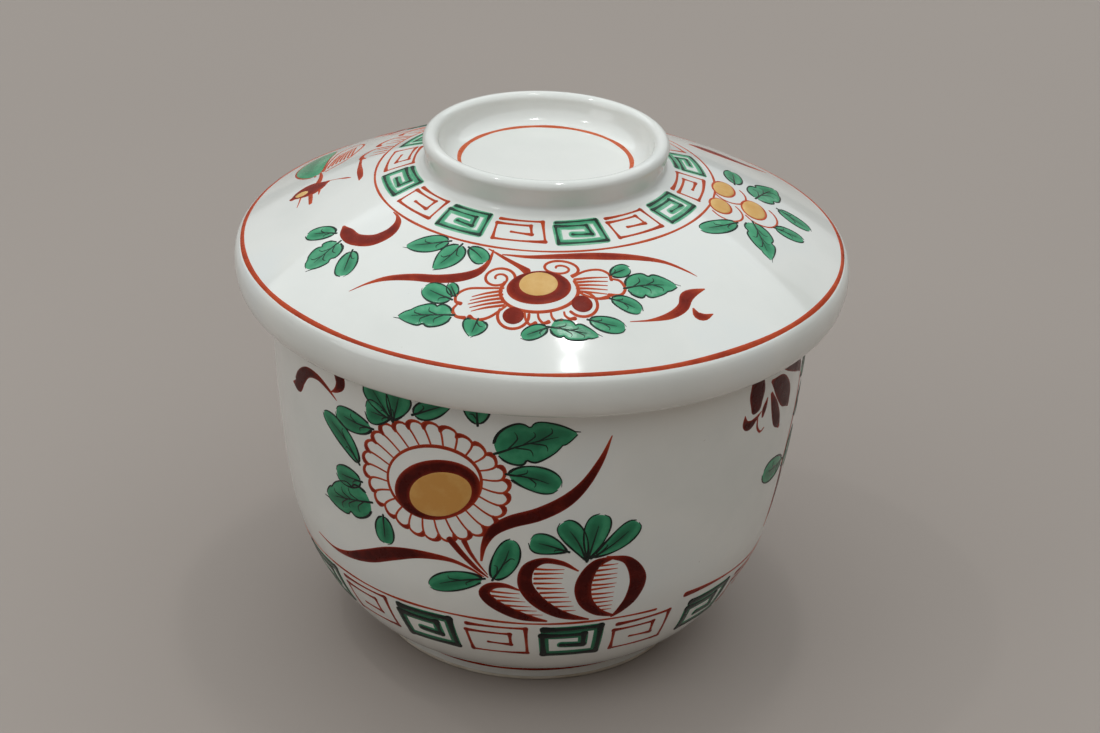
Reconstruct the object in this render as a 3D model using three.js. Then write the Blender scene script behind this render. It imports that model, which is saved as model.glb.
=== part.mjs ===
// A porcelain rice bowl with its lid. The bowl stands on a foot ring. The skirt of the
// lid hangs outside the rim of the bowl, and a ledge inside the skirt rests on the rim.
// Each piece is one turned body: its outline is drawn as (radius, height) and spun
// round the vertical axis. Units are millimetres, +Z is up, and the origin is the
// centre of the circle that the foot ring stands on.
import * as THREE from 'three';

// Turning
const SEGMENTS = 48;
const CURVE_STEPS = 4;

// Bowl
const BOWL_HEIGHT = 78.5;
const RIM_RADIUS = 52.5;
const WALL = 3.5;
const SHOULDER_RADIUS = 48.5;
const SHOULDER_HEIGHT = 30;
const FLOOR_HEIGHT = 8.6;
const FLOOR_FLAT_RADIUS = 26;

// Foot ring under the bowl
const FOOT_RADIUS = 31.4;
const FOOT_HEIGHT = 4;
const FOOT_WIDTH = 3.6;
const FOOT_TAPER = 0.5;
const FOOT_CHAMFER = 0.5;
const RECESS_HEIGHT = 3.4;
const RECESS_FILLET = 1.5;

// How the lid fits the bowl
const SEAT_GAP = 0.3;
const SKIRT_CLEARANCE = 1.3;
const SKIRT_DEPTH = 6.3;

// Lid
const LID_RADIUS = 58.8;
const LID_HEIGHT = 102.1;
const EDGE_HEIGHT = 77.5;
const DOME_RADIUS = 57.5;
const DOME_HEIGHT = 81;
const CEILING_HEIGHT = 92.4;
const LEDGE_WIDTH = 5;
const LEDGE_FILLET = 0.8;

// Ring grip on top of the lid, with a shallow well inside it
const RING_RADIUS = 23.3;
const RING_BASE_RADIUS = 22.4;
const RING_BASE_HEIGHT = 96.5;
const RING_EDGE = 1.5;
const WELL_RADIUS = 15.5;
const WELL_HEIGHT = 96.9;

// Heights and radii that follow from the fit
const SKIRT_RADIUS = RIM_RADIUS + SKIRT_CLEARANCE;
const SKIRT_HEIGHT = BOWL_HEIGHT - SKIRT_DEPTH;
const LEDGE_HEIGHT = BOWL_HEIGHT + SEAT_GAP;

const glaze = { color: 0xdfe1dd, roughness: 0.12, metalness: 0 };

// Spins an outline round the vertical axis. The outline runs from the axis along the
// underside, outwards, up and back to the axis, so the faces point out of the body.
function turned(name, outline) {
  const geometry = new THREE.LatheGeometry(outline.getPoints(CURVE_STEPS), SEGMENTS);
  geometry.rotateX(Math.PI / 2);
  const mesh = new THREE.Mesh(geometry, new THREE.MeshStandardMaterial(glaze));
  mesh.name = name;
  return mesh;
}

// Underside of the bowl: the recess, then the foot ring, which tapers down to its land.
function drawFootRing(path) {
  const inner = FOOT_RADIUS - FOOT_WIDTH;
  const land = FOOT_RADIUS - FOOT_TAPER;
  path.moveTo(0, RECESS_HEIGHT);
  path.lineTo(inner - RECESS_FILLET, RECESS_HEIGHT);
  path.quadraticCurveTo(inner, RECESS_HEIGHT, inner, RECESS_HEIGHT - RECESS_FILLET);
  path.lineTo(inner, FOOT_CHAMFER);
  path.lineTo(inner + FOOT_CHAMFER, 0);
  path.lineTo(land - FOOT_CHAMFER, 0);
  path.lineTo(land, FOOT_CHAMFER);
  path.lineTo(FOOT_RADIUS, FOOT_HEIGHT - 1);
  path.quadraticCurveTo(FOOT_RADIUS + 0.2, FOOT_HEIGHT, FOOT_RADIUS + 1.6, FOOT_HEIGHT + 0.6);
}

// Outside of the bowl: a round belly up to the shoulder, then a nearly upright wall.
function drawBowlOutside(path) {
  path.bezierCurveTo(
    FOOT_RADIUS + 8.2, FOOT_HEIGHT + 2.8,
    SHOULDER_RADIUS - 1.9, SHOULDER_HEIGHT - 10.5,
    SHOULDER_RADIUS, SHOULDER_HEIGHT);
  path.bezierCurveTo(
    SHOULDER_RADIUS + 2.3, SHOULDER_HEIGHT + 14,
    RIM_RADIUS - 0.6, BOWL_HEIGHT - 18.5,
    RIM_RADIUS, BOWL_HEIGHT - WALL / 2);
}

// Inside of the bowl: over the round rim, down the wall and across the dished floor.
function drawBowlInside(path) {
  const rim = RIM_RADIUS - WALL;
  const shoulder = SHOULDER_RADIUS - WALL;
  path.absarc(RIM_RADIUS - WALL / 2, BOWL_HEIGHT - WALL / 2, WALL / 2, 0, Math.PI, false);
  path.bezierCurveTo(
    rim - 0.6, BOWL_HEIGHT - 18.5,
    shoulder + 2.1, SHOULDER_HEIGHT + 15,
    shoulder, SHOULDER_HEIGHT + 1);
  path.bezierCurveTo(
    shoulder - 2.2, SHOULDER_HEIGHT - 13,
    FLOOR_FLAT_RADIUS, FLOOR_HEIGHT,
    0, FLOOR_HEIGHT);
}

// Underside of the lid: the domed ceiling, the ledge, and the inside of the skirt.
function drawLidUnderside(path) {
  path.moveTo(0, CEILING_HEIGHT);
  path.bezierCurveTo(
    24, CEILING_HEIGHT - 0.1,
    40, CEILING_HEIGHT - 4.8,
    SKIRT_RADIUS - LEDGE_WIDTH, LEDGE_HEIGHT);
  path.lineTo(SKIRT_RADIUS - LEDGE_FILLET, LEDGE_HEIGHT);
  path.quadraticCurveTo(SKIRT_RADIUS, LEDGE_HEIGHT, SKIRT_RADIUS, LEDGE_HEIGHT - LEDGE_FILLET);
  path.lineTo(SKIRT_RADIUS, SKIRT_HEIGHT + 1.6);
}

// Edge of the lid: a full round from the bottom of the skirt out and up to the dome.
function drawLidEdge(path) {
  path.quadraticCurveTo(SKIRT_RADIUS, SKIRT_HEIGHT, SKIRT_RADIUS + 1.8, SKIRT_HEIGHT);
  path.bezierCurveTo(
    SKIRT_RADIUS + 3.8, SKIRT_HEIGHT,
    LID_RADIUS, EDGE_HEIGHT - 2.8,
    LID_RADIUS, EDGE_HEIGHT);
  path.bezierCurveTo(
    LID_RADIUS, EDGE_HEIGHT + 1.6,
    LID_RADIUS - 0.3, EDGE_HEIGHT + 2.9,
    DOME_RADIUS, DOME_HEIGHT);
}

// Top of the lid: the dome, the ring grip, which widens upwards, and the flat well.
function drawLidTop(path) {
  path.quadraticCurveTo(40.7, DOME_HEIGHT + 9.6, RING_BASE_RADIUS + 1.6, RING_BASE_HEIGHT - 0.8);
  path.quadraticCurveTo(
    RING_BASE_RADIUS, RING_BASE_HEIGHT - 0.3,
    RING_BASE_RADIUS, RING_BASE_HEIGHT + 0.8);
  path.lineTo(RING_RADIUS, LID_HEIGHT - RING_EDGE);
  path.absarc(RING_RADIUS - RING_EDGE, LID_HEIGHT - RING_EDGE, RING_EDGE, 0, Math.PI, false);
  path.bezierCurveTo(
    RING_RADIUS - 3.6, LID_HEIGHT - 3.4,
    WELL_RADIUS + 3.4, WELL_HEIGHT + 0.2,
    WELL_RADIUS, WELL_HEIGHT);
  path.lineTo(0, WELL_HEIGHT);
}

function bowlOutline() {
  const path = new THREE.Path();
  drawFootRing(path);
  drawBowlOutside(path);
  drawBowlInside(path);
  return path;
}

function lidOutline() {
  const path = new THREE.Path();
  drawLidUnderside(path);
  drawLidEdge(path);
  drawLidTop(path);
  return path;
}

const riceBowl = new THREE.Group();
riceBowl.add(turned('bowl', bowlOutline()));
riceBowl.add(turned('lid', lidOutline()));

export default riceBowl;
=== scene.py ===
import math
import random

import bpy
import numpy as np
from mathutils import Matrix, Vector


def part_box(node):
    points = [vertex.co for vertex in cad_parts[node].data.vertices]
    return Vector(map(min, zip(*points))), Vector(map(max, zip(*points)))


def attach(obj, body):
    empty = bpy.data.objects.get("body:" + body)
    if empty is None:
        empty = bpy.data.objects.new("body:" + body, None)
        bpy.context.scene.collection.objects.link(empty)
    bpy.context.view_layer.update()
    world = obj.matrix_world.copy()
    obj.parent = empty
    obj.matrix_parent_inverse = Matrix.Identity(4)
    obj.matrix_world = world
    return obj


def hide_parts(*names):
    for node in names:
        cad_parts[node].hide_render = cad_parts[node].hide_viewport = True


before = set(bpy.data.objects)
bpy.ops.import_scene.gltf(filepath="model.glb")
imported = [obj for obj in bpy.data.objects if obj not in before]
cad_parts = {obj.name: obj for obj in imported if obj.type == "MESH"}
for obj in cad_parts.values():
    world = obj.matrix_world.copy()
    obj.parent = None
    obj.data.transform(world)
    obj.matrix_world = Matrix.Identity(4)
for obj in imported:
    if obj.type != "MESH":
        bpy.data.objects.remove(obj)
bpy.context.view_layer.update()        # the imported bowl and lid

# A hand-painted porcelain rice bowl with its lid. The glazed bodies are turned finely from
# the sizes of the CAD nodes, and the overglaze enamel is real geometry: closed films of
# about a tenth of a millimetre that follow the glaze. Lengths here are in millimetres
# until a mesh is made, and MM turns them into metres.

MM = 0.001
random.seed(7)

# ---------------------------------------------------------------- sizes from the frame

BOWL_LOW, BOWL_HIGH = [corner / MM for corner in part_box("bowl")]
LID_LOW, LID_HIGH = [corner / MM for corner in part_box("lid")]
BOWL_HEIGHT = BOWL_HIGH.z
RIM_RADIUS = BOWL_HIGH.x
LID_RADIUS = LID_HIGH.x
LID_HEIGHT = LID_HIGH.z
SKIRT_HEIGHT = LID_LOW.z

# The rest of the turned shape, as the CAD has it
WALL = 3.5
SHOULDER_RADIUS = 48.5
SHOULDER_HEIGHT = 30
FLOOR_HEIGHT = 8.6
FLOOR_FLAT_RADIUS = 26
FOOT_RADIUS = 31.4
FOOT_HEIGHT = 4
FOOT_WIDTH = 3.6
FOOT_TAPER = 0.5
RECESS_HEIGHT = 3.4
SKIRT_RADIUS = RIM_RADIUS + 1.3
LEDGE_HEIGHT = BOWL_HEIGHT + 0.3
LEDGE_WIDTH = 5
EDGE_HEIGHT = 77.5
DOME_RADIUS = 57.5
DOME_HEIGHT = 81
CEILING_HEIGHT = 92.4
RING_RADIUS = 23.3
RING_BASE_RADIUS = 22.4
RING_BASE_HEIGHT = 96.5
RING_EDGE = 1.5
WELL_RADIUS = 15.5
WELL_HEIGHT = 96.9

GLAZE_LINE = 0.8         # the glaze on the foot ring stops this high
SEAT_DEPTH = 0.5         # thickness of the unglazed seat band under the lid
SPIN = 288               # segments round a turned body
ON_AXIS = 1e-6           # a point nearer to the axis than this is on it

# ---------------------------------------------------------------- colour helpers


def linear(code):
    """A #rrggbb colour as linear RGBA."""
    srgb = [int(code[i:i + 2], 16) / 255 for i in (1, 3, 5)]
    return (*[c / 12.92 if c < 0.04045 else ((c + 0.055) / 1.055) ** 2.4 for c in srgb], 1)


def grey(value):
    """A linear grey as RGBA, for a mask or a roughness."""
    return (value, value, value, 1)


class Shader:
    """A material whose nodes are added by short calls."""

    def __init__(self, name):
        self.material = bpy.data.materials.new(name)
        self.material.use_nodes = True
        self.tree = self.material.node_tree
        self.skin = self.tree.nodes["Principled BSDF"]
        self.coordinates = self.tree.nodes.new("ShaderNodeTexCoord").outputs["Object"]

    def set(self, **values):
        """Plain values on the Principled shader, such as coat_weight=0.3."""
        for key, value in values.items():
            socket = key.replace("_", " ").title().replace("Ior", "IOR")
            self.skin.inputs[socket].default_value = value

    def join(self, source, target):
        self.tree.links.new(source, target)

    def drive(self, socket, source):
        """Lets a node set a value of the Principled shader."""
        self.join(source, self.skin.inputs[socket])

    def noise(self, scale, detail=4, roughness=0.5, stretch=None):
        node = self.tree.nodes.new("ShaderNodeTexNoise")
        node.inputs["Scale"].default_value = scale
        node.inputs["Detail"].default_value = detail
        node.inputs["Roughness"].default_value = roughness
        source = self.coordinates
        if stretch:
            mapping = self.tree.nodes.new("ShaderNodeMapping")
            mapping.inputs["Scale"].default_value = stretch
            self.join(source, mapping.inputs["Vector"])
            source = mapping.outputs["Vector"]
        self.join(source, node.inputs["Vector"])
        return node.outputs["Fac"]

    def load(self):
        """How thick the paint lies, from 0 at a dry edge to 1 in a pool."""
        node = self.tree.nodes.new("ShaderNodeAttribute")
        node.attribute_name = "load"
        return node.outputs["Fac"]

    def ramp(self, source, *stops):
        """A colour ramp. Each stop is its position and an RGBA colour."""
        node = self.tree.nodes.new("ShaderNodeValToRGB")
        elements = node.color_ramp.elements
        while len(elements) < len(stops):
            elements.new(0.5)
        for element, (position, colour) in zip(elements, stops):
            element.position = position
            element.color = colour
        self.join(source, node.inputs["Fac"])
        return node.outputs["Color"]

    def math(self, operation, first, second):
        node = self.tree.nodes.new("ShaderNodeMath")
        node.operation = operation
        for socket, value in zip(node.inputs, (first, second)):
            if isinstance(value, (int, float)):
                socket.default_value = value
            else:
                self.join(value, socket)
        return node.outputs["Value"]

    def mix(self, factor, first, second):
        node = self.tree.nodes.new("ShaderNodeMix")
        node.data_type = "RGBA"
        sockets = [s for s in node.inputs if s.enabled]
        for socket, value in zip(sockets, (factor, first, second)):
            if isinstance(value, (int, float, tuple)):
                socket.default_value = value
            else:
                self.join(value, socket)
        return [s for s in node.outputs if s.enabled][0]

    def bump(self, height, strength, distance):
        node = self.tree.nodes.new("ShaderNodeBump")
        node.inputs["Strength"].default_value = strength
        node.inputs["Distance"].default_value = distance
        self.join(height, node.inputs["Height"])
        self.drive("Normal", node.outputs["Normal"])


# ---------------------------------------------------------------- materials


def porcelain():
    """Cool white porcelain under a clear glaze, with a faint cloudiness and iron specks."""
    shader = Shader("porcelain_glaze")
    cloud = shader.noise(28, detail=5)
    body = shader.ramp(cloud, (0.35, linear("#e2e3dd")), (0.52, linear("#eaeae4")),
                       (0.7, linear("#e5e8e5")))
    speck = shader.ramp(shader.noise(900, detail=2, roughness=0.4), (0.79, grey(0)), (0.83, grey(0.4)))
    shader.drive("Base Color", shader.mix(speck, body, linear("#a79c8a")))
    gloss = shader.ramp(shader.noise(60, detail=3), (0.3, grey(0.07)), (0.75, grey(0.15)))
    shader.drive("Roughness", gloss)
    throwing = shader.noise(40, detail=3, stretch=(1, 1, 5))
    pits = shader.math("MULTIPLY", shader.noise(700, detail=2), 0.06)
    shader.bump(shader.math("ADD", throwing, pits), 0.12, 0.0004)
    shader.set(ior=1.5, coat_weight=0.3, coat_roughness=0.03)
    return shader.material


def bare_clay():
    """Unglazed fired clay: warm off-white, matt, with fine grit and brown scorch marks."""
    shader = Shader("bare_clay")
    warm = shader.ramp(shader.noise(120, detail=6), (0.3, linear("#b9ab95")), (0.6, linear("#d8cfbf")))
    scorch = shader.ramp(shader.noise(35, detail=4), (0.5, grey(0)), (0.72, grey(0.6)))
    shader.drive("Base Color", shader.mix(scorch, warm, linear("#8a6a4a")))
    shader.bump(shader.noise(1500, detail=4), 0.5, 0.0001)
    shader.set(roughness=0.85)
    return shader.material


def enamel(name, *stops, streak=0.25, roughness=(0.14, 0.3), grain=0.0, shine=0.5):
    """Overglaze enamel. Its colour runs from the thin edge to the thick pool of each brush mark.

    streak is how unevenly the paint took. grain roughens its surface.
    """
    shader = Shader(name)
    drift = shader.noise(330, detail=5, roughness=0.6)
    swing = shader.math("MULTIPLY", shader.math("SUBTRACT", drift, 0.5), streak * 2)
    depth = shader.math("ADD", shader.load(), swing)
    shader.drive("Base Color", shader.ramp(depth, *[(at, linear(code)) for at, code in stops]))
    low, high = roughness
    shader.drive("Roughness", shader.ramp(shader.noise(500, detail=3), (0.3, grey(low)), (0.7, grey(high))))
    shader.bump(shader.noise(900, detail=4), 0.25 + grain, 0.0001)
    shader.set(specular_ior_level=shine)
    return shader.material


GLAZE = porcelain()
CLAY = bare_clay()
RED = enamel("red_enamel", (0.0, "#d0683e"), (0.25, "#bd4a27"), (0.55, "#8c2817"), (1.0, "#480c07"),
             roughness=(0.22, 0.4), shine=0.1)
GREEN = enamel("green_enamel", (0.0, "#8fcdaa"), (0.2, "#48a377"), (0.45, "#278059"), (1.0, "#0f4630"),
               roughness=(0.1, 0.22), shine=0.26)
BLACK = enamel("black_enamel", (0.0, "#38604c"), (0.3, "#1a3528"), (0.7, "#0c1612"), shine=0.22)
GOLD = enamel("gold_enamel", (0.1, "#ebc582"), (0.45, "#dbac62"), (0.85, "#ce9347"), streak=0.4,
              roughness=(0.32, 0.5), grain=0.3, shine=0.35)

# ---------------------------------------------------------------- outlines and turned bodies


def bezier(points, steps):
    """Points along a quadratic or cubic Bezier curve, without the first."""
    points = np.array(points, float)
    order = len(points) - 1
    t = np.linspace(0, 1, steps + 1)[1:, None]
    return sum(math.comb(order, k) * (1 - t) ** (order - k) * t ** k * points[k]
               for k in range(order + 1))


class Outline:
    """A turned body's outline as (radius, height)."""

    def __init__(self, radius, height):
        self.points = [(radius, height)]

    def line(self, radius, height):
        self.points.append((radius, height))

    def curve(self, *handles, steps=14):
        self.points.extend(map(tuple, bezier([self.points[-1], *handles], steps)))

    def arc(self, centre, radius, steps=16):
        """Half a turn over the top, from the outside to the inside."""
        for k in range(1, steps + 1):
            angle = math.pi * k / steps
            self.line(centre[0] + radius * math.cos(angle), centre[1] + radius * math.sin(angle))


def mesh_object(name, vertices, faces, material):
    mesh = bpy.data.meshes.new(name)
    mesh.from_pydata([tuple(v) for v in vertices], [], faces)
    mesh.materials.append(material)
    mesh.validate()
    mesh.polygons.foreach_set("use_smooth", [True] * len(mesh.polygons))
    piece = bpy.data.objects.new(name, mesh)
    bpy.context.collection.objects.link(piece)
    return piece


def turned(name, outline, material, closed=False):
    """Spins an outline round the Z axis. A closed outline makes a ring that never meets the axis."""
    angles = [2 * math.pi * k / SPIN for k in range(SPIN)]
    vertices, rows = [], []
    for radius, height in outline.points:
        if radius < ON_AXIS:
            rows.append([len(vertices)] * SPIN)
            vertices.append((0, 0, height * MM))
            continue
        rows.append(list(range(len(vertices), len(vertices) + SPIN)))
        vertices += [(radius * math.cos(a) * MM, radius * math.sin(a) * MM, height * MM) for a in angles]
    pairs = list(zip(rows, rows[1:])) + ([(rows[-1], rows[0])] if closed else [])
    faces = []
    for low, high in pairs:
        for k in range(SPIN):
            corners = [low[k], low[(k + 1) % SPIN], high[(k + 1) % SPIN], high[k]]
            faces.append(list(dict.fromkeys(corners)))
    return mesh_object(name, vertices, faces, material)


def foot_side():
    """Outer side of the foot ring, from the glaze line up into the belly."""
    land = FOOT_RADIUS - FOOT_TAPER
    side = Outline(land - 0.25, GLAZE_LINE)
    side.curve((land + 0.02, GLAZE_LINE), (land + 0.05, GLAZE_LINE + 0.4), steps=5)
    side.line(FOOT_RADIUS, FOOT_HEIGHT - 1.1)
    side.curve((FOOT_RADIUS + 0.2, FOOT_HEIGHT), (FOOT_RADIUS + 1.6, FOOT_HEIGHT + 0.6), steps=8)
    return side


def add_bowl_outside(outline):
    """Round belly up to the shoulder, then a nearly upright wall."""
    outline.curve((FOOT_RADIUS + 8.2, FOOT_HEIGHT + 2.8), (SHOULDER_RADIUS - 1.9, SHOULDER_HEIGHT - 10.5),
                  (SHOULDER_RADIUS, SHOULDER_HEIGHT), steps=26)
    outline.curve((SHOULDER_RADIUS + 2.3, SHOULDER_HEIGHT + 14), (RIM_RADIUS - 0.6, BOWL_HEIGHT - 18.5),
                  (RIM_RADIUS, BOWL_HEIGHT - WALL / 2), steps=22)


def bowl_body():
    """The bowl's glaze, from the middle of the recess out, over the rim and down to the floor."""
    inner = FOOT_RADIUS - FOOT_WIDTH
    body = Outline(0, RECESS_HEIGHT)
    body.line(inner - 1.5, RECESS_HEIGHT)
    body.curve((inner, RECESS_HEIGHT), (inner, RECESS_HEIGHT - 1.5), steps=8)
    body.line(inner, GLAZE_LINE + 0.3)
    body.curve((inner, GLAZE_LINE), (inner + 0.3, GLAZE_LINE), steps=5)
    body.points += foot_side().points
    add_bowl_outside(body)
    body.arc((RIM_RADIUS - WALL / 2, BOWL_HEIGHT - WALL / 2), WALL / 2)
    rim, shoulder = RIM_RADIUS - WALL, SHOULDER_RADIUS - WALL
    body.curve((rim - 0.6, BOWL_HEIGHT - 18.5), (shoulder + 2.1, SHOULDER_HEIGHT + 15),
               (shoulder, SHOULDER_HEIGHT + 1), steps=20)
    body.curve((shoulder - 2.2, SHOULDER_HEIGHT - 13), (FLOOR_FLAT_RADIUS, FLOOR_HEIGHT), (0, FLOOR_HEIGHT),
               steps=30)
    return turned("bowl_porcelain", body, GLAZE)


def foot_land():
    """The unglazed land of the foot ring, a little narrower than the glaze above it."""
    inner = FOOT_RADIUS - FOOT_WIDTH + 0.15
    outer = FOOT_RADIUS - FOOT_TAPER - 0.15
    land = Outline(inner, GLAZE_LINE)
    land.line(inner, 0.45)
    land.curve((inner, 0), (inner + 0.45, 0), steps=5)
    land.line(outer - 0.45, 0)
    land.curve((outer, 0), (outer, 0.45), steps=5)
    land.line(outer, GLAZE_LINE)
    return turned("foot_land_clay", land, CLAY, closed=True)


def add_dome(outline):
    """From the edge of the lid up to the foot of the ring grip."""
    outline.curve((40.7, DOME_HEIGHT + 9.6), (RING_BASE_RADIUS + 1.6, RING_BASE_HEIGHT - 0.8), steps=30)


def add_well(outline):
    """The inside of the ring grip and its flat middle."""
    outline.curve((RING_RADIUS - 3.6, LID_HEIGHT - 3.4), (WELL_RADIUS + 3.4, WELL_HEIGHT + 0.2),
                  (WELL_RADIUS, WELL_HEIGHT), steps=14)
    outline.line(0, WELL_HEIGHT)


SEAT_INNER = SKIRT_RADIUS - LEDGE_WIDTH + 1.2
SEAT_OUTER = SKIRT_RADIUS - 1.1
SEAT_GAP = 0.04          # the clay band stands this far clear of the glaze beside it


def lid_body():
    """The lid's glaze, from the middle of its ceiling out, over the edge and into the well."""
    body = Outline(0, CEILING_HEIGHT)
    body.curve((24, CEILING_HEIGHT - 0.1), (40, CEILING_HEIGHT - 4.8),
               (SKIRT_RADIUS - LEDGE_WIDTH, LEDGE_HEIGHT), steps=30)
    body.line(SEAT_INNER, LEDGE_HEIGHT)
    body.line(SEAT_INNER, LEDGE_HEIGHT + SEAT_DEPTH)
    body.line(SEAT_OUTER, LEDGE_HEIGHT + SEAT_DEPTH)
    body.line(SEAT_OUTER, LEDGE_HEIGHT)
    body.line(SKIRT_RADIUS - 0.8, LEDGE_HEIGHT)
    body.curve((SKIRT_RADIUS, LEDGE_HEIGHT), (SKIRT_RADIUS, LEDGE_HEIGHT - 0.8), steps=6)
    body.line(SKIRT_RADIUS, SKIRT_HEIGHT + 1.6)
    body.curve((SKIRT_RADIUS, SKIRT_HEIGHT), (SKIRT_RADIUS + 1.8, SKIRT_HEIGHT), steps=8)
    body.curve((SKIRT_RADIUS + 3.8, SKIRT_HEIGHT), (LID_RADIUS, EDGE_HEIGHT - 2.8),
               (LID_RADIUS, EDGE_HEIGHT))
    body.curve((LID_RADIUS, EDGE_HEIGHT + 1.6), (LID_RADIUS - 0.3, EDGE_HEIGHT + 2.9),
               (DOME_RADIUS, DOME_HEIGHT))
    add_dome(body)
    body.curve((RING_BASE_RADIUS, RING_BASE_HEIGHT - 0.3),
               (RING_BASE_RADIUS, RING_BASE_HEIGHT + 0.8), steps=10)
    body.line(RING_RADIUS, LID_HEIGHT - RING_EDGE)
    body.arc((RING_RADIUS - RING_EDGE, LID_HEIGHT - RING_EDGE), RING_EDGE)
    add_well(body)
    return turned("lid_porcelain", body, GLAZE)


def lid_seat():
    """The unglazed band inside the lid that the lid was fired on and that rests on the rim."""
    inner, outer = SEAT_INNER + SEAT_GAP, SEAT_OUTER - SEAT_GAP
    top, underside = LEDGE_HEIGHT + SEAT_DEPTH - SEAT_GAP, LEDGE_HEIGHT + 0.05
    seat = Outline(inner, top)
    seat.line(inner, underside)
    seat.line(outer, underside)
    seat.line(outer, top)
    return turned("lid_seat_clay", seat, CLAY, closed=True)


# ---------------------------------------------------------------- painted surfaces


class Skin:
    """An outside surface to paint on. It knows the outline by arc length from its start."""

    def __init__(self, outline):
        self.points = np.array(outline.points)
        step = np.hypot(*np.diff(self.points, axis=0).T)
        self.along = np.concatenate([[0], np.cumsum(step)])
        tangent = np.gradient(self.points, self.along, axis=0)
        tangent /= np.linalg.norm(tangent, axis=1)[:, None]
        self.normal = np.stack([tangent[:, 1], -tangent[:, 0]], 1)

    def lift(self, along, height):
        """Radius and height of a point that stands off the surface."""
        foot = [np.interp(along, self.along, self.points[:, k]) for k in (0, 1)]
        normal = [np.interp(along, self.along, self.normal[:, k]) for k in (0, 1)]
        return foot[0] + height * normal[0], foot[1] + height * normal[1]


BOWL_UNIT = 50           # one millimetre sideways on the bowl is 1/50 radian

bowl_side = foot_side()
add_bowl_outside(bowl_side)
BOWL_SKIN = Skin(bowl_side)
lid_side = Outline(DOME_RADIUS + 0.25, DOME_HEIGHT - 0.25)
lid_side.line(DOME_RADIUS, DOME_HEIGHT)
add_dome(lid_side)
LID_SKIN = Skin(lid_side)
well_side = Outline(RING_RADIUS - 2 * RING_EDGE, LID_HEIGHT - RING_EDGE)
add_well(well_side)
WELL_SKIN = Skin(well_side)


def place_on_bowl(x, y, height):
    """x is sideways from the front, y is up the wall from the glaze line of the foot ring."""
    radius, z = BOWL_SKIN.lift(y, height)
    angle = x / BOWL_UNIT
    return np.stack([radius * np.sin(angle), -radius * np.cos(angle), z], -1) * MM


def place_from_above(skin, x, y, height):
    """x and y are a plan, as seen from above with the front at -y."""
    flat = np.hypot(x, y)
    along = np.interp(-flat, -skin.points[:, 0], skin.along)
    radius, z = skin.lift(along, height)
    return np.stack([x / flat * radius, y / flat * radius, z], -1) * MM


def place_on_lid(x, y, height):
    return place_from_above(LID_SKIN, x, y, height)


def place_in_well(x, y, height):
    return place_from_above(WELL_SKIN, x, y, height)


# ---------------------------------------------------------------- brush marks

EDGE_SINK = 0.03         # a film's edge goes this far under the glaze
FILM_ROOT = 0.10         # and its underside this far
FILM_RISE = 0.07         # the crown of a brush mark above the glaze
WASH_RISE = 0.05         # the crown of a leaf's thin wash
LEVEL_SPREAD = 0.008     # marks differ this much in height, so that no two lie in one plane
WIDE_STROKE = 1.3        # a wider mark than this shows the hairs of the brush
HAIR_STREAK = 0.07
LINE_PROFILE = (-1.07, -0.82, 0, 0.82, 1.07)
STROKE_PROFILE = (-1.04, -0.94, -0.75, -0.4, 0, 0.4, 0.75, 0.94, 1.04)


class Film:
    """All the marks of one enamel on one piece, gathered into one mesh of closed thin bodies."""

    def __init__(self, name, place, material, slot, body, level, strength):
        self.name, self.place, self.material, self.slot, self.body = name, place, material, slot, body
        self.level, self.strength = level, strength
        self.vertices, self.faces, self.loads = [], [], []
        self.count = 0

    def sheet(self, xy, rise, load, place=None, closed=False):
        """Adds one mark: a grid of plan points with its rise and paint load, closed underneath.

        A closed sheet is a ring, whose last row joins the first.
        """
        rows, columns = xy.shape[:2]
        place = place or self.place
        lift = rise + self.level + random.uniform(0, LEVEL_SPREAD)
        lift[:, 0] = lift[:, -1] = -EDGE_SINK
        if not closed:
            lift[0] = lift[-1] = -EDGE_SINK
        top = place(xy[..., 0], xy[..., 1], lift).reshape(-1, 3)
        under = place(xy[..., 0], xy[..., 1], np.full((rows, columns), -FILM_ROOT)).reshape(-1, 3)
        self.vertices += [top, under]
        self.loads += [load.reshape(-1) * self.strength] * 2
        self.stitch(xy, closed)

    def stitch(self, xy, closed):
        """The faces of the newest mark: over, under and round its edge, all facing outwards."""
        rows, columns = xy.shape[:2]
        over, below = self.count, self.count + rows * columns
        self.count += 2 * rows * columns
        middle = rows // 2
        onward = xy[(middle + 1) % rows, 0] - xy[middle, 0]
        sideways = xy[middle, -1] - xy[middle, 0]
        flip = onward[0] * sideways[1] - onward[1] * sideways[0] > 0

        def add(corners):
            self.faces.append(corners[::-1] if flip else corners)

        for i in range(rows if closed else rows - 1):
            for j in range(columns - 1):
                a = i * columns + j
                b = (i + 1) % rows * columns + j
                add([over + a, over + a + 1, over + b + 1, over + b])
                add([below + b, below + b + 1, below + a + 1, below + a])
        for edge in self.borders(rows, columns, closed):
            for a, b in zip(edge, edge[1:] + edge[:1]):
                add([over + b, over + a, below + a, below + b])

    @staticmethod
    def borders(rows, columns, closed):
        """The rim of a grid as loops of point numbers, in the order of its faces."""
        left = [i * columns for i in reversed(range(rows))]
        right = [i * columns + columns - 1 for i in range(rows)]
        if closed:
            return [left, right]
        start = list(range(1, columns - 1))
        end = [(rows - 1) * columns + j for j in reversed(range(1, columns - 1))]
        return [left + start + right + end]

    def build(self):
        piece = mesh_object(self.name, np.concatenate(self.vertices), self.faces, self.material)
        loads = np.clip(np.concatenate(self.loads), 0, 1)
        attribute = piece.data.attributes.new("load", "FLOAT", "POINT")
        attribute.data.foreach_set("value", loads.astype(np.float32))
        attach(piece, self.body)


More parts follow.
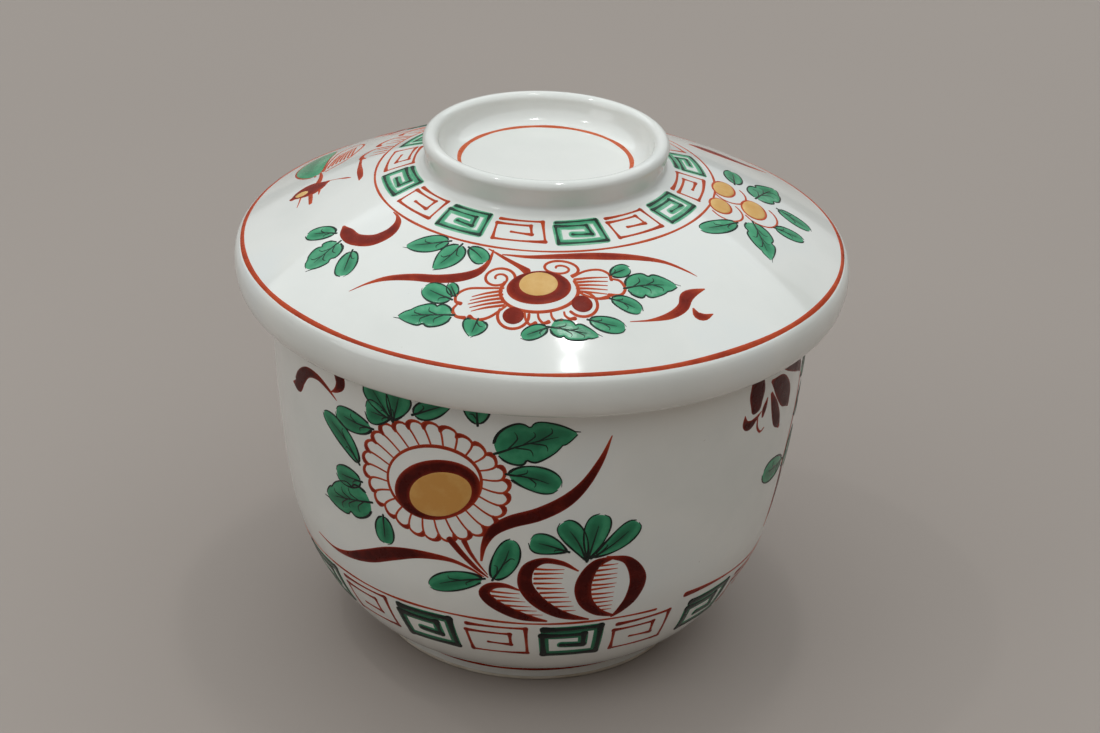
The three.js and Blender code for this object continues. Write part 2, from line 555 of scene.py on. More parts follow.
def smooth_path(points, spacing):
    """A Catmull-Rom curve through the points, which may carry a width as a third number."""
    points = np.array(points, float)
    ends = [2 * points[0] - points[1], *points, 2 * points[-1] - points[-2]]
    out = []
    for p0, p1, p2, p3 in zip(ends, ends[1:], ends[2:], ends[3:]):
        count = max(2, int(np.hypot(*(p2 - p1)[:2]) / spacing))
        for t in np.arange(count) / count:
            out.append(0.5 * (2 * p1 + (p2 - p0) * t + (2 * p0 - 5 * p1 + 4 * p2 - p3) * t * t
                              + (3 * p1 - p0 - 3 * p2 + p3) * t ** 3))
    out.append(points[-1])
    return np.array(out)


def path_normals(path, closed=False):
    """The unit vector to the left of a path at each of its points."""
    tangent = np.roll(path, -1, 0) - np.roll(path, 1, 0) if closed else np.gradient(path, axis=0)
    tangent = tangent / (np.linalg.norm(tangent, axis=1)[:, None] + 1e-9)
    return np.stack([-tangent[:, 1], tangent[:, 0]], 1)


def lay_ribbon(film, path, widths, wet, place=None, closed=False):
    """Lays a ribbon of paint along a path. The paint is thicker where the mark is wider.

    wet raises the load. Wide strokes get more columns and the streaks of the brush hairs.
    """
    wide = widths.max() > WIDE_STROKE
    across = np.array(STROKE_PROFILE if wide else LINE_PROFILE)
    half = np.maximum(widths, 0.05) / 2
    normal = path_normals(path, closed)
    xy = path[:, None, :] - normal[:, None, :] * half[:, None, None] * across[None, :, None]
    crown = np.sqrt(np.clip(1 - across ** 2, 0.04, 1))[None, :]
    fullness = np.clip(widths / 1.2, 0.45, 1)[:, None]
    rise = FILM_RISE * fullness * crown
    hairs = 0
    if wide:
        hairs = np.array([random.uniform(-HAIR_STREAK, HAIR_STREAK) for _ in across])[None, :]
    load = np.clip(0.18 + 0.34 * widths, 0, 0.95)[:, None] * (0.35 + 0.65 * crown) + wet + hairs
    film.sheet(xy, rise, load, place, closed)


def brush(film, points, wet=0.0, spacing=0.5):
    """One brush stroke through (x, y, width) points, with rounded ends."""
    path = smooth_path(points, spacing)
    xy, widths = path[:, :2], np.maximum(path[:, 2], 0.06)
    for end in (0, -1):
        inward = xy[1] - xy[0] if end == 0 else xy[-2] - xy[-1]
        inward = inward / (np.hypot(*inward) + 1e-9)
        stops = [0.98, 0.75, 0.4]
        extra = [xy[end] - inward * widths[end] / 2 * s for s in stops]
        caps = [widths[end] * math.sqrt(1 - s * s) for s in stops]
        if end == 0:
            xy, widths = np.vstack([extra, xy]), np.concatenate([caps, widths])
        else:
            xy, widths = np.vstack([xy, extra[::-1]]), np.concatenate([widths, caps[::-1]])
    lay_ribbon(film, xy, widths, wet)


def loop(film, path, widths, wet=0.0, place=None):
    """A line that runs all the way round."""
    lay_ribbon(film, path, widths, wet, place, closed=True)


def tilted(x, y, centre, tilt):
    """Plan points turned by tilt degrees and set round a centre."""
    c, s = math.cos(math.radians(tilt)), math.sin(math.radians(tilt))
    return np.stack([centre[0] + c * x - s * y, centre[1] + s * x + c * y], 1)


def oval(centre, radii, tilt=0.0, count=72, start=0.0, sweep=360.0):
    """Points on an ellipse, or on an arc of one."""
    closed = abs(sweep) >= 360
    angles = np.radians(start + sweep * np.arange(count) / (count if closed else count - 1))
    return tilted(radii[0] * np.cos(angles), radii[1] * np.sin(angles), centre, tilt)


def between(film, first, second, load, columns=9, rise=FILM_RISE, closed=False):
    """Fills the strip between two curves that have the same number of points."""
    t = (1 - np.cos(np.linspace(0, math.pi, columns))) / 2
    xy = first[:, None, :] * (1 - t)[None, :, None] + second[:, None, :] * t[None, :, None]
    bulge = np.sqrt(np.clip(1 - (2 * t - 1) ** 2, 0, 1))[None, :] * np.ones((len(first), 1))
    load = np.broadcast_to(load, xy.shape[:2]).copy()
    film.sheet(xy, rise * bulge ** 0.5, load, closed=closed)


def disc(film, centre, radii, tilt=0.0, load=0.6):
    """A filled oval, as a strip from its left side to its right side."""
    angles = np.radians(np.linspace(-89, 89, 25))
    x, y = radii[0] * np.cos(angles), radii[1] * np.sin(angles)
    left, right = tilted(-x, y, centre, tilt), tilted(x, y, centre, tilt)
    across = np.cos(np.linspace(0, math.pi, 9))[None, :]
    shade = load * (1.1 - 0.3 * across ** 2) * np.ones((len(angles), 1))
    between(film, left, right, shade)


def moved(points, x=0.0, y=0.0, turn=0.0):
    """Points, with or without a width, turned about the origin by turn degrees and shifted."""
    c, s = math.cos(math.radians(turn)), math.sin(math.radians(turn))
    return [(x + c * p[0] - s * p[1], y + s * p[0] + c * p[1], *p[2:]) for p in points]


# ---------------------------------------------------------------- motifs


class Palette:
    """The enamels of one piece. Each lies at its own level, so that ink stays on top of a wash.

    strength scales the paint load: 1 is dark, and the bowl's higher strength is painted shade. ink is the
    weight of the leaves' lines, and step is how far apart the points of its strokes lie.
    """

    def __init__(self, body, place, strength, ink, step):
        self.ink, self.step = ink, step
        films = (("green", GREEN, 0.0), ("red", RED, 0.0), ("gold", GOLD, 0.03), ("black", BLACK, 0.05))
        for colour, material, level in films:
            slot = f"{colour}_enamel"
            film = Film(f"{body}_{slot}", place, material, slot, body, level, strength)
            setattr(self, colour, film)

    def build(self):
        for film in (self.green, self.red, self.gold, self.black):
            film.build()


def strokes(paint, rows, wet=0.0, nib=0.0, **move):
    """Several red strokes. nib widens them all, and move places them as moved() does."""
    for row in rows:
        line = [(x, y, width + nib) for x, y, width in row]
        brush(paint.red, moved(line, **move), wet, paint.step)


def leaf_edge(spine, normal, half, side, lobes, shift):
    """One edge of a leaf, cut into round lobes if it has any."""
    t = np.linspace(0, 1, len(spine))
    edge = half * random.uniform(0.95, 1.05)
    if lobes:
        notch = (1 - np.abs(np.sin(math.pi * (lobes * t + shift)))) ** 3
        edge = edge * (1 - 0.34 * notch * np.sin(math.pi * t))
    return spine + side * normal * edge[:, None]


def ink_edge(film, edge, end, ink, seed):
    """The black outline of one edge: pressed at the base, thin along the side, on past the tip."""
    first = int(len(edge) * random.uniform(0.0, 0.05))
    path = np.vstack([edge[first:-1], end])
    s = np.linspace(0, 1, len(path))
    weight = 0.34 + 0.3 * (1 - s) ** 5 + 0.08 * np.sin(9 * s + seed) - 0.16 * s ** 6
    lay_ribbon(film, path, weight * ink, 0.25)


def leaf(paint, base, tip, width, shape, ink, bend=0.0, lobes=0, veins=2, tail=0.35, outline="black"):
    """A leaf: a green wash, a black outline in two strokes, a midrib and side veins.

    shape gives how blunt the base and the tip are: a small number is round, 1 is pointed.
    bend bows the leaf to its left as a share of its length. tail is how far the ink runs past
    the tip, and ink the weight of its lines.
    """
    base, tip = np.array(base, float), np.array(tip, float)
    axis = tip - base
    length = np.hypot(*axis)
    side = np.array([-axis[1], axis[0]]) / length
    t = np.linspace(0, 1, max(17, int(length / 0.4)))
    spine = base + axis * t[:, None] + side * (4 * bend * length * t * (1 - t))[:, None]
    a, b = shape
    peak = a / (a + b)
    half = width / 2 * (t ** a * (1 - t) ** b) / (peak ** a * (1 - peak) ** b)
    normal = path_normals(spine)
    edges = [leaf_edge(spine, normal, half, sign, lobes, shift) for sign, shift in ((1, 0.0), (-1, 0.4))]
    across = np.cos(np.linspace(0, math.pi, 9))[None, :]
    streak = np.exp(-((across - 0.15) / 0.4) ** 2) * np.sin(math.pi * np.clip(t * 0.9 + 0.1, 0, 1))[:, None]
    load = 0.27 + 0.66 * streak * (0.35 + 0.65 * t[:, None]) + 0.12 * np.abs(across) ** 6
    between(paint.green, edges[0], edges[1], load, rise=WASH_RISE)
    outward = axis / length
    lines = getattr(paint, outline)
    ink_edge(lines, edges[0], tip + outward * tail, ink, base[0])
    ink_edge(lines, edges[1], tip + outward * 0.1, ink, base[1])
    stem = base - outward * min(0.45, 0.06 * length)
    rib = [(*stem, 0.5 * ink)]
    for k, weight in ((0.08, 0.55), (0.3, 0.4), (0.55, 0.3), (0.78, 0.12)):
        rib.append((*spine[int(k * (len(t) - 1))], weight * ink))
    brush(lines, rib, wet=0.2)
    for k in range(veins):
        start = 0.14 + 0.5 * k / max(1, veins)
        i, j = int(start * len(t)), min(len(t) - 1, int((start + 0.17) * len(t)))
        edge = edges[k % 2]
        vein = [spine[i], spine[j] * 0.66 + edge[j] * 0.34, spine[j] * 0.34 + edge[j] * 0.66]
        brush(lines, [(*p, w * ink) for p, w in zip(vein, (0.36, 0.3, 0.12))], wet=0.15)


LOBED = dict(lobes=2, veins=4)


def leaves(paint, rows, **move):
    """Several leaves, each a row of base, tip, width, shape and any other choices."""
    for base, tip, width, shape, choices in rows:
        leaf(paint, *moved([base, tip], **move), width, shape, paint.ink, **choices)


def petal(paint, root, outward, length, width):
    """A hooked petal line: thin up one side, over the tip, and back in a thick curl."""
    outward = np.array(outward) / np.hypot(*outward)
    left = np.array([-outward[1], outward[0]])
    shape = ((0.0, -0.38, 0.42), (0.45, -0.48, 0.46), (0.8, -0.44, 0.54), (0.97, -0.16, 0.66),
             (1.0, 0.16, 0.85), (0.9, 0.42, 1.15), (0.76, 0.46, 0.8))
    points = [(*(np.array(root) + outward * r * length + left * s * width), w) for r, s, w in shape]
    brush(paint.red, points)


SUNFLOWER_PETALS = 26


def sunflower(paint, cx, cy):
    """A round flower: gold disc, dark crescent, white ring and a ring of hooked petals."""
    heart, shade, rim = (cx + 1.4, cy - 1.8), (cx + 0.6, cy - 1.1), (cx, cy + 0.45)
    disc(paint.gold, heart, (7.0, 4.4), tilt=34, load=0.7)
    inner = oval(heart, (6.4, 3.9), tilt=34)
    outer = oval(shade, (9.1, 6.1), tilt=32)
    across = (1 - np.cos(np.linspace(0, math.pi, 9)))[None, :] / 2
    gap = np.hypot(*(outer - inner).T)[:, None] - 0.6
    depth = 0.3 + 0.68 * np.sin(math.pi * across) ** 0.7 * np.clip(gap / 2.2, 0.1, 1)
    between(paint.red, inner, outer, depth, closed=True)
    ring = oval(rim, (9.6, 7.4), tilt=30)
    loop(paint.red, ring, 0.7 + 0.14 * np.sin(np.linspace(0, 4 * math.pi, len(ring), endpoint=False)))
    for k in range(SUNFLOWER_PETALS):
        angle = 360 * (k + 0.5) / SUNFLOWER_PETALS
        root = oval(rim, (9.8, 7.6), tilt=30, count=2, start=angle - 30, sweep=1)[0]
        turn = math.radians(angle)
        reach = np.array([cx - 0.3 + 14.2 * math.cos(turn), cy + 0.3 + 12.7 * math.sin(turn)])
        out = reach - root
        petal(paint, root, out, np.hypot(*out) * random.uniform(0.95, 1.06), 3.2)


def stripes(paint, rows):
    """Short hatching strokes that thin out to the right: (x, y, length)."""
    for x, y, length in rows:
        sag = random.uniform(-0.15, 0.15)
        brush(paint.red, [(x, y, 0.62), (x + 0.45 * length, y + sag, 0.48), (x + length, y + sag, 0.14)])


def fruits(paint, x, y):
    """Three striped peaches in a row, resting on the band line."""
    front = [(16.6, 15.3, 0.5), (12.8, 13.9, 2.2), (10.9, 9.6, 3.3), (11.5, 5.4, 3.0), (14.1, 2.2, 2.0),
             (17.8, 0.4, 0.6)]
    cheek = [(15.0, 15.5, 0.5), (19.2, 13.9, 1.9), (21.7, 9.3, 3.5), (21.0, 4.9, 3.0), (19.0, 1.8, 1.7),
             (17.4, 0.2, 0.5)]
    middle = [(9.6, 12.8, 0.4), (6.6, 14.7, 1.1), (3.0, 15.3, 1.5), (0.3, 13.4, 2.5), (-0.2, 9.8, 2.9),
              (1.6, 6.4, 3.0), (4.8, 3.4, 2.6), (8.3, 1.5, 1.9), (12.6, 0.2, 0.5)]
    back = [(-1.1, 8.1, 0.4), (-3.9, 9.0, 1.1), (-6.5, 8.6, 1.7), (-7.9, 6.8, 2.3), (-6.7, 4.8, 2.5),
            (-3.9, 2.9, 2.6), (-0.4, 1.3, 2.2), (4.2, 0.2, 0.6)]
    strokes(paint, (back, middle, front, cheek), wet=0.08, x=x, y=y)
    stripes(paint, [(x + 12.6 + abs(k - 5) * 0.1, y + 13.6 - 1.12 * k, 4.6 - 0.12 * abs(k - 4))
                    for k in range(11)])
    stripes(paint, [(x + 1.6 + max(0, k - 3) * 0.62, y + 13.4 - 1.15 * k, 5.4 - 0.1 * k)
                    for k in range(10)])
    stripes(paint, [(x - 6.4 + max(0, k - 1) * 1.15, y + 7.3 - 1.05 * k, 5.2) for k in range(6)])


def fret(place_at, paint, width, height, weight, wash=0.0, wet=-0.15):
    """A square spiral of separate brush strokes. place_at puts cell coordinates on the piece.

    A green shadow, wash millimetres wide, runs under each stroke and a little inside it.
    """
    w, h = width / 2, height / 2
    corners = [(-0.95 * w, 0.93 * h), (0.9 * w, h), (w, -0.95 * h), (-0.88 * w, -h), (-w, 0.52 * h),
               (0.4 * w, 0.55 * h), (0.46 * w, -0.28 * h), (-0.3 * w, -0.22 * h)]
    corners = [(cx + random.uniform(-0.15, 0.15), cy + random.uniform(-0.12, 0.12)) for cx, cy in corners]
    for (ax, ay), (bx, by) in zip(corners, corners[1:]):
        points, shadow = [], []
        for t in (0, 0.2, 0.5, 0.8, 1):
            swell = 0.85 + 0.75 * (1 - t) ** 4 + 0.3 * t ** 6 + random.uniform(-0.08, 0.08)
            x, y = ax + (bx - ax) * t, ay + (by - ay) * t
            points.append((*place_at(x, y), weight * swell))
            shadow.append((*place_at(x * 0.96, y * 0.93), wash))
        brush(paint.black if wash else paint.red, points, wet=0.05)
        if wash:
            brush(paint.green, shadow, wet)


# ---------------------------------------------------------------- the bowl's painting

BAND_LINE = 28.6         # height of the red line over the bowl's fret band, along the wall
BAND_MIDDLE = 22.4
FRET_HEIGHT = 9.3
BOWL_FRETS = 20
FIRST_FRET = 43.4        # middle of the first one, to the right of the front
FRET_GAP = 2.4           # extra space where the last fret meets the first
PAINT_TURN = -0.7        # the painting sits this far to the left of the exact front
FOOT_LINE = 2.3          # height of the red line on the foot
BOWL_SHADE_MIX = 1.15          # painted shade: the bowl's enamel is loaded darker than the lid's, for the bowl's wall that stands in shade beside the lit lid
SPRAY_OFFSET = 50.5      # from a bouquet to the spray beside it


def bowl_frets(paint):
    """Green and red frets by turns, from where the line over them starts to where it ends."""
    pitch = (2 * math.pi * BOWL_UNIT - FRET_GAP) / BOWL_FRETS
    for k in range(BOWL_FRETS):
        middle = FIRST_FRET + PAINT_TURN + pitch * k

        def place_at(px, py, middle=middle):
            return (middle + px, BAND_MIDDLE + py)

        if k % 2:
            fret(place_at, paint, width=12.9, height=FRET_HEIGHT - 0.2, weight=0.78)
        else:
            fret(place_at, paint, width=12.6, height=FRET_HEIGHT, weight=1.15, wash=2.15)


def bowl_lines(paint):
    """The line over the fret band, whose two ends miss each other, and the line on the foot."""
    around = 2 * math.pi * BOWL_UNIT
    start, end = 34.6 + PAINT_TURN, around + 27.5 + PAINT_TURN
    points = []
    steps = 120
    for k in range(steps + 1):
        t = k / steps
        rise = 1.5 * (1 - min(1, t * 5)) ** 2
        swell = 0.62 + 0.12 * math.sin(k * 0.9) + 0.9 * math.exp(-t * 50)
        points.append((start + (end - start) * t, BAND_LINE + rise + 0.12 * math.sin(k * 0.5), swell))
    brush(paint.red, points, spacing=0.7)
    ring = np.linspace(math.pi, 3 * math.pi, 300)
    path = np.stack([ring * BOWL_UNIT, FOOT_LINE + 0.1 * np.sin(5 * ring)], 1)
    lay_ribbon(paint.red, path, 0.66 + 0.1 * np.sin(9 * ring), 0.1)


def bowl_bouquet(paint, x):
    """The sunflower, its leaves and brush strokes, and the peaches, set round the bowl at x."""
    sunflower(paint, x - 17.5, 58.7)
    strokes(paint, [
        [(14, 71.4, 0.25), (12.4, 66.6, 1.2), (9.8, 61.6, 2.0), (6.5, 57.9, 2.8), (2, 55.1, 3.0),
         (-3, 53.1, 2.8), (-6.3, 50.6, 2.2), (-7.9, 47.1, 1.2), (-8.4, 43.6, 0.5)],
        [(-49.5, 34.5, 0.2), (-44, 33.8, 0.7), (-39, 34.6, 1.6), (-33, 37, 3.0), (-27, 40, 3.1),
         (-21, 42, 2.0), (-15, 42.5, 1.1), (-11, 41.5, 0.7), (-8, 39.8, 0.3)],
        [(-14.3, 47.2, 1.5), (-12.3, 44.7, 1.3), (-9.5, 41.7, 0.9), (-7.2, 39.8, 0.3)],
        [(-11.6, 47.4, 1.2), (-10.6, 45.2, 0.9), (-9, 42.7, 0.6), (-7.3, 40.5, 0.3)],
        [(-52.9, 66.4, 0.5), (-51, 66.7, 2.9), (-49.4, 69.1, 3.0), (-46.8, 71.4, 2.2), (-43.5, 71.9, 1.4),
         (-40.6, 70.9, 0.9), (-38.2, 69.4, 0.25)],
        [(-37.4, 75.8, 2.8), (-37.0, 73.3, 2.4), (-38.1, 71.6, 1.2), (-39.4, 70.7, 0.3)],
    ], wet=0.05, x=x)
    fruits(paint, x, BAND_LINE + 0.6)
    blunt, oval_leaf, point = (0.9, 0.38), (0.6, 0.5), (0.5, 0.85)
    leaves(paint, [
        ((-5.8, 67.6), (8.0, 72.3), 8.6, point, dict(bend=0.05, lobes=2, veins=5, tail=1.0)),
        ((-3.7, 63.3), (5.3, 60.7), 5.2, (0.6, 0.42), dict(bend=0.08)),
        ((-6.2, 39.6), (-2.9, 49.1), 4.9, (0.55, 0.5), dict(bend=-0.06)),
        ((-8.2, 39.2), (-19.0, 35.0), 4.5, (0.6, 0.5), dict(bend=-0.05)),
        ((7.3, 46.6), (0.4, 48.9), 4.4, blunt, dict(bend=-0.04, veins=1)),
        ((10.9, 44.4), (6.0, 53.2), 4.4, blunt, dict(bend=-0.06, veins=0)),
        ((11.3, 44.6), (13.3, 54.6), 4.9, blunt, dict(veins=0)),
        ((12.2, 45.0), (20.2, 52.0), 4.3, blunt, dict(bend=-0.05, veins=1)),
        ((-20.8, 72.7), (-13.4, 77.0), 3.8, point, dict(veins=1)),
        ((-9.2, 73.3), (-9.6, 79.4), 4.6, oval_leaf, dict(veins=1)),
        ((-25.6, 70.4), (-31.0, 70.4), 4.8, blunt, dict(veins=1)),
        ((-25.4, 70.2), (-30.2, 76.4), 4.9, blunt, dict(veins=1)),
        ((-25.0, 70.2), (-23.4, 76.8), 5.0, blunt, dict(veins=1)),
        ((-29.8, 66.8), (-38.5, 67.2), 4.6, (0.6, 0.42), dict(bend=0.04)),
        ((-33.4, 58.0), (-42.2, 65.2), 4.3, oval_leaf, dict(bend=-0.10)),
        ((-33.1, 54.0), (-39.6, 53.4), 4.4, (0.5, 0.4), dict(veins=1)),
        ((-31.0, 50.2), (-43.4, 46.6), 7.8, (0.45, 0.7), dict(lobes=2, veins=6, tail=1.8)),
        ((-28.2, 48.1), (-28.1, 41.9), 4.3, (0.5, 0.4), dict(veins=0)),
    ], x=x)


def bowl_side_spray(paint, x):
    """The dark-red blossom under the lid's edge, with its tendril, stem and leaves."""
    strokes(paint, [
        [(-5.6, 75, 3.4), (-5.2, 71.8, 4.6), (-5.0, 68.8, 3.2)],
        [(-8.2, 68, 0.3), (-7.8, 66.2, 1.7), (-6.4, 65.4, 2.1), (-4.4, 66.3, 0.9), (-3.2, 67, 0.3)],
        [(-1.6, 69.2, 0.5), (-2.2, 67.4, 1.5), (-2.5, 65.8, 0.8)],
        [(-4.2, 66.8, 0.3), (-3.9, 64, 0.6), (-2.6, 62.4, 0.55), (-1.5, 62.8, 0.35)],
        [(-0.2, 69.6, 0.8), (1.8, 65.8, 2.5), (3.6, 62.2, 2.8), (5.2, 60, 0.8)],
        [(-0.6, 72.4, 0.8), (3.0, 70, 4.4), (6.6, 66, 4.6), (8.6, 63.2, 1.0)],
        [(1.2, 75.4, 1.0), (6.0, 73.6, 3.6), (11.5, 70.6, 3.4), (15, 67.4, 0.6)],
    ], wet=0.12, x=x)
    leaves(paint, [
        ((11.5, 49.4), (1.6, 51.2), 5.4, (0.6, 0.42), dict(bend=0.04)),
        ((12.9, 47.6), (20.5, 52.4), 5.2, (0.55, 0.6), dict(bend=-0.06)),
        ((16.0, 57.6), (23.4, 60.6), 4.6, (0.5, 0.6), dict(bend=-0.05)),
        ((17.0, 65.4), (25.8, 71.8), 6.2, (0.45, 0.8), dict(LOBED, tail=0.9)),
    ], x=x)
    lower_stem = [(10.0, 34.6, 0.3), (12.6, 39.8, 1.6), (13.6, 45.2, 2.0), (12.6, 48.8, 0.5)]
    upper_stem = [(15.6, 66.6, 0.4), (16.4, 61.4, 0.9), (15.4, 55.4, 1.0), (13.0, 49.2, 0.5)]
    for stem in (lower_stem, upper_stem):
        brush(paint.red, moved(stem, x), wet=0.05)


def paint_bowl():
    # the bowl's paint load is raised here as painted shade for its shaded wall
    paint = Palette("bowl", place_on_bowl, BOWL_SHADE_MIX, ink=1.0, step=0.4)
    bowl_lines(paint)
    bowl_frets(paint)
    half_turn = math.pi * BOWL_UNIT
    for x in (PAINT_TURN, half_turn):
        bowl_bouquet(paint, x)
        bowl_side_spray(paint, x + SPRAY_OFFSET)
    paint.build()


# ---------------------------------------------------------------- the lid's painting

LID_FRETS = 16
FIRST_LID_FRET = -98.7   # degrees round from the right, the front being at -90
FRET_RADIUS = 27.6
FRET_LINE = 32.2         # radius of the line outside the frets
WELL_LINE = 16.3         # radius of the line in the well
RING_SWING = 0.1         # how much the width of a ring line varies
FINE_NIB = 0.12          # added to the widths of the finest lines
LID_MIX = 0.7


def lid_ring(film, radius, width, place=None, wet=0.0):
    """A line round the lid's axis."""
    count = int(radius * 7)
    angles = np.linspace(0, 2 * math.pi, count, endpoint=False)
    wander = 1 + 0.002 * np.sin(3 * angles + radius)
    path = np.stack([radius * wander * np.cos(angles), radius * wander * np.sin(angles)], 1)
    widths = width * (1 + RING_SWING * np.sin(5 * angles) + RING_SWING * np.sin(13 * angles + 1))
    loop(film, path, widths, wet, place)


def lid_frets(paint):
    """Red and green frets by turns round the foot of the ring grip."""
    for k in range(LID_FRETS):
        angle = math.radians(FIRST_LID_FRET + 360 * k / LID_FRETS)

        def place_at(px, py, angle=angle):
            turn = angle + px / FRET_RADIUS
            radius = FRET_RADIUS - py
            return (radius * math.cos(turn), radius * math.sin(turn))

        if k % 2:
            fret(place_at, paint, width=8.8, height=5.4, weight=0.58, wash=1.6, wet=-0.38)
        else:
            fret(place_at, paint, width=9.4, height=5.2, weight=0.56)


def curl(paint, centre, radii, turns, start, turn):
    """A spiral line that winds inwards."""
    steps = int(14 * turns)
    points = []
    for k in range(steps + 1):
        t = k / steps
        angle = math.radians(start + 360 * turns * t)
        shrink = 1 - 0.82 * t ** 1.3
        points.append((centre[0] + radii[0] * shrink * math.cos(angle),
                       centre[1] + radii[1] * shrink * math.sin(angle), 0.62 - 0.14 * t))
    strokes(paint, [points], turn=turn)


def lid_flower(paint, turn):
    """The flower spray on the lid: a gold eye, two shell petals, curls, berries and leaves."""
    def point(x, y):
        return moved([(x, y)], turn=turn)[0]

    def fine(rows):
        strokes(paint, rows, nib=FINE_NIB, turn=turn)

    disc(paint.gold, point(-0.4, -39.6), (3.65, 2.5), 6 + turn, load=0.6)
    inner = np.array(moved(oval((-0.4, -39.6), (3.2, 2.1), 6), turn=turn))
    outer = np.array(moved(oval((-0.3, -40.3), (5.8, 3.6), 6), turn=turn))
    across = (1 - np.cos(np.linspace(0, math.pi, 7)))[None, :] / 2
    between(paint.red, inner, outer, 0.5 + 0.55 * np.sin(math.pi * across), columns=7, closed=True)
    ring = oval((-0.2, -40.9), (6.9, 4.5), 6, start=150, sweep=245, count=60)
    strokes(paint, [[(*p, 0.7) for p in ring[::4]]], turn=turn)
    fine([
        [(-6.6, -40.5, 0.4), (-9.5, -40.35, 0.4), (-12.8, -40.2, 0.45), (-14.7, -41.2, 0.5),
         (-14.9, -42.6, 0.5), (-14.0, -43.2, 0.7)],
        [(-14.5, -43.2, 0.35), (-15.3, -44.3, 0.5), (-14.7, -45.7, 0.5), (-13.2, -46.2, 0.7)],
        [(-12.3, -46.1, 0.9), (-11.2, -46.8, 0.6), (-8.8, -46.4, 0.5), (-6.0, -44.3, 0.4)],
        [(5.6, -37.6, 0.4), (7.8, -36.0, 0.4), (10.3, -35.3, 0.45), (12.0, -35.9, 0.5), (12.5, -37.1, 0.6)],
        [(12.7, -36.9, 0.35), (14.1, -37.1, 0.5), (15.0, -38.6, 0.5), (14.2, -40.1, 0.5),
         (12.2, -40.5, 0.7)],
        [(12.0, -41.0, 0.8), (10.3, -41.6, 0.5), (8.4, -41.4, 0.45), (6.8, -40.8, 0.4)],
    ])
    for k in range(5):
        y = -41.1 - 0.75 * k
        fine([[(-6.9 + 0.12 * k, y, 0.5), (-9.6, y - 0.35, 0.36),
               (-12.6 + 0.3 * abs(k - 2), y - 0.85, 0.1)]])
        y = -38.1 - 0.62 * k
        fine([[(6.0 + 0.16 * k, y, 0.5), (8.6, y + 0.7 - 0.15 * k, 0.36), (11.8, y + 1.4 - 0.3 * k, 0.1)]])
    curl(paint, (-7.5, -38.3), (3.0, 2.4), turns=1.6, start=-35, turn=turn)
    curl(paint, (3.2, -35.9), (3.5, 1.9), turns=1.6, start=-50, turn=turn)
    for x, y, start in ((-4.6, -46.2, 150), (7.4, -43.1, 225)):
        disc(paint.red, point(x, y), (1.95, 1.7), turn, load=0.9)
        arc = oval((x, y), (2.75, 2.6), start=start, sweep=215, count=12)
        fine([[(*p, 0.5) for p in arc]])
    for k in range(4):
        x, y, depth = -2.1 + 2.3 * k, -45.7 + 0.06 * k ** 2, 2.3 - 0.35 * k
        fine([[(x - 0.5, y, 0.3), (x - 0.3, y - 0.55 * depth, 0.4), (x + 0.5, y - depth, 0.5),
               (x + 1.4, y - 0.85 * depth, 0.75)]])
    strokes(paint, [
        [(-34.2, -35.8, 0.12), (-31, -35.1, 0.55), (-27.5, -35, 1.15), (-23, -35.9, 1.6),
         (-18.5, -37.2, 1.9), (-14.5, -37.5, 2.0), (-11.5, -36.8, 1.7), (-9.8, -35.2, 1.0),
         (-9.0, -33.2, 0.6), (-8.7, -31.9, 0.3)],
        [(-9.5, -31.5, 0.3), (-6.5, -33.9, 0.7), (-4, -35.7, 1.0), (-2.6, -36.8, 1.5)],
        [(-7, -33, 0.3), (-2, -33.6, 0.8), (4, -33.1, 1.3), (11, -32, 1.7), (17, -30.9, 1.3),
         (22, -30.4, 0.8), (26, -31, 0.5), (28, -31.6, 0.12)],
        [(16, -45.3, 0.15), (19.5, -44.2, 0.5), (23, -42.3, 1.4), (25.3, -39.8, 1.9), (26, -37.3, 2.3),
         (27.3, -35.7, 1.6), (29.3, -34.1, 0.3)],
        [(27.3, -39.4, 0.5), (28, -40.5, 1.7), (29.3, -40.4, 1.4), (30.8, -39.2, 0.2)],
    ], wet=0.05, turn=turn)
    leaves(paint, [
        ((-16.8, -28.6), (-24.6, -27.9), 4.0, (0.5, 0.75), dict(bend=0.03, tail=1.0)),
        ((-14.6, -30.0), (-19.4, -34.8), 4.7, (0.5, 0.8), dict(bend=0.05)),
        ((-13.0, -30.9), (-10.1, -34.7), 3.2, (0.6, 0.4), dict(bend=0.05, veins=0)),
        ((-15.8, -42.0), (-20.7, -38.6), 3.9, (0.5, 0.45), dict(bend=0.03, veins=1)),
        ((-15.0, -41.4), (-16.1, -38.6), 2.1, (0.5, 0.45), dict(veins=0)),
        ((-15.4, -45.4), (-25.0, -44.0), 4.9, (0.45, 0.8), dict(LOBED, tail=1.2)),
        ((-10.8, -46.8), (-12.0, -50.0), 4.5, (0.3, 0.75), dict(veins=1)),
        ((1.4, -48.5), (-3.1, -50.4), 2.7, (0.5, 0.5), dict(veins=1)),
        ((1.9, -48.3), (10.6, -49.2), 3.9, (0.45, 0.8), dict(LOBED, tail=1.0)),
        ((8.8, -46.2), (15.2, -46.7), 3.2, (0.55, 0.45), dict(bend=-0.03)),
        ((12.6, -41.3), (18.0, -42.8), 3.1, (0.55, 0.42), dict(bend=0.04)),
        ((15.2, -38.4), (24.4, -35.4), 5.2, (0.45, 0.8), dict(LOBED, bend=0.04, tail=1.2)),
        ((12.4, -36.0), (15.7, -33.7), 2.7, (0.55, 0.45), dict(veins=1)),
    ], turn=turn)


